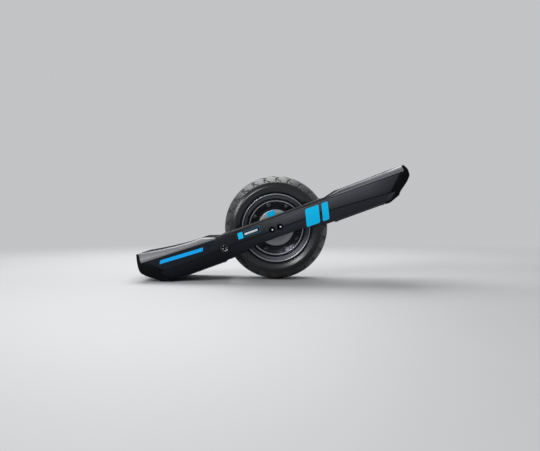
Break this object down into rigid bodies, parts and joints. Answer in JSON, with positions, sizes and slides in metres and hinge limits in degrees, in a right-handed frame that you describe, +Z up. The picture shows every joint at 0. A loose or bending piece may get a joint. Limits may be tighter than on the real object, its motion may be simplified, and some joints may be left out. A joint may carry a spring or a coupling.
{
  "type": "one-wheeled electric skateboard",
  "caption": "Self-balancing electric skateboard with one wide hub-motor wheel between two footpads, parked on its tail.",
  "frame": {"origin": "on the floor, under the middle of the bounding box", "axes": "+X along the board towards the raised nose, +Y to the far side (rider's left), +Z up"},
  "size_m": [0.73, 0.236, 0.3121],
  "materials": {
    "tyre_rubber": "matte, slightly shiny on the sidewall",
    "valve_rubber": "matte",
    "rim_black": "black anodised, satin",
    "cover_grey": "grey, satin",
    "rail_charcoal": "charcoal anodised, satin",
    "bumper_black": "fine texture",
    "pad_core": "matte",
    "grip_black": "grit",
    "trim_black": "satin",
    "steel": "machined",
    "bolt_black": "black oxide",
    "copper": "enamelled wire",
    "board_green": "solder mask",
    "cell_wrap": "heat-shrink wrap over cells",
    "box_black": "matte",
    "aluminium": "bare, machined",
    "lens": "clear, frosted",
    "cable_black": "satin"
  },
  "bodies": {
    "board": {"bearing_left_inner_race": "steel", "bearing_right_inner_race": "steel", "stator_core": "steel", "stator_windings": "copper", "axle": "steel", "axle_block_left": "aluminium", "axle_block_right": "aluminium", "axle_bolt_left_front": "bolt_black", "axle_bolt_left_rear": "bolt_black", "axle_bolt_right_front": "bolt_black", "axle_bolt_right_rear": "bolt_black", "rail_left": "rail_charcoal", "rail_right": "rail_charcoal", "trim_strip_left": "trim_black", "trim_strip_right": "trim_black", "front_bumper": "bumper_black", "front_light_lens": "lens", "front_light_board": "board_green", "front_bumper_screw_left": "bolt_black", "front_bumper_screw_right": "bolt_black", "rear_bumper": "bumper_black", "rear_light_lens": "lens", "rear_light_board": "board_green", "rear_bumper_screw_left": "bolt_black", "rear_bumper_screw_right": "bolt_black", "footpad_sensor": "board_green", "front_footpad": "pad_core", "front_grip": "grip_black", "rear_footpad": "pad_core", "rear_grip": "grip_black", "battery_box": "box_black", "battery_pack": "cell_wrap", "battery_board": "board_green", "controller_box": "box_black", "heat_sink": "aluminium", "controller_board": "board_green", "charge_socket": "trim_black", "button_bezel": "trim_black", "battery_cable": "cable_black", "motor_cable": "cable_black"},
    "wheel": {"tyre": "tyre_rubber", "hub_rim": "rim_black", "rotor_ring": "steel", "motor_cover_left": "cover_grey", "motor_cover_right": "cover_grey", "valve_stem": "valve_rubber", "bearing_left_outer_race": "steel", "bearing_right_outer_race": "steel"},
    "power_button": {"power_button": "steel"}
  },
  "joints": [
    {"name": "wheel_spin", "type": "hinge", "parent": "board", "child": "wheel", "pos_m": [0.00966, 0, 0.1435], "axis": [0, 1, 0], "continuous": true},
    {"name": "button_press", "type": "slide", "parent": "board", "child": "power_button", "axis": [0, -1, 0], "range_m": [0, 0.0015], "stiffness_N_per_m": 800, "springref_m": -0.0005}
  ]
}
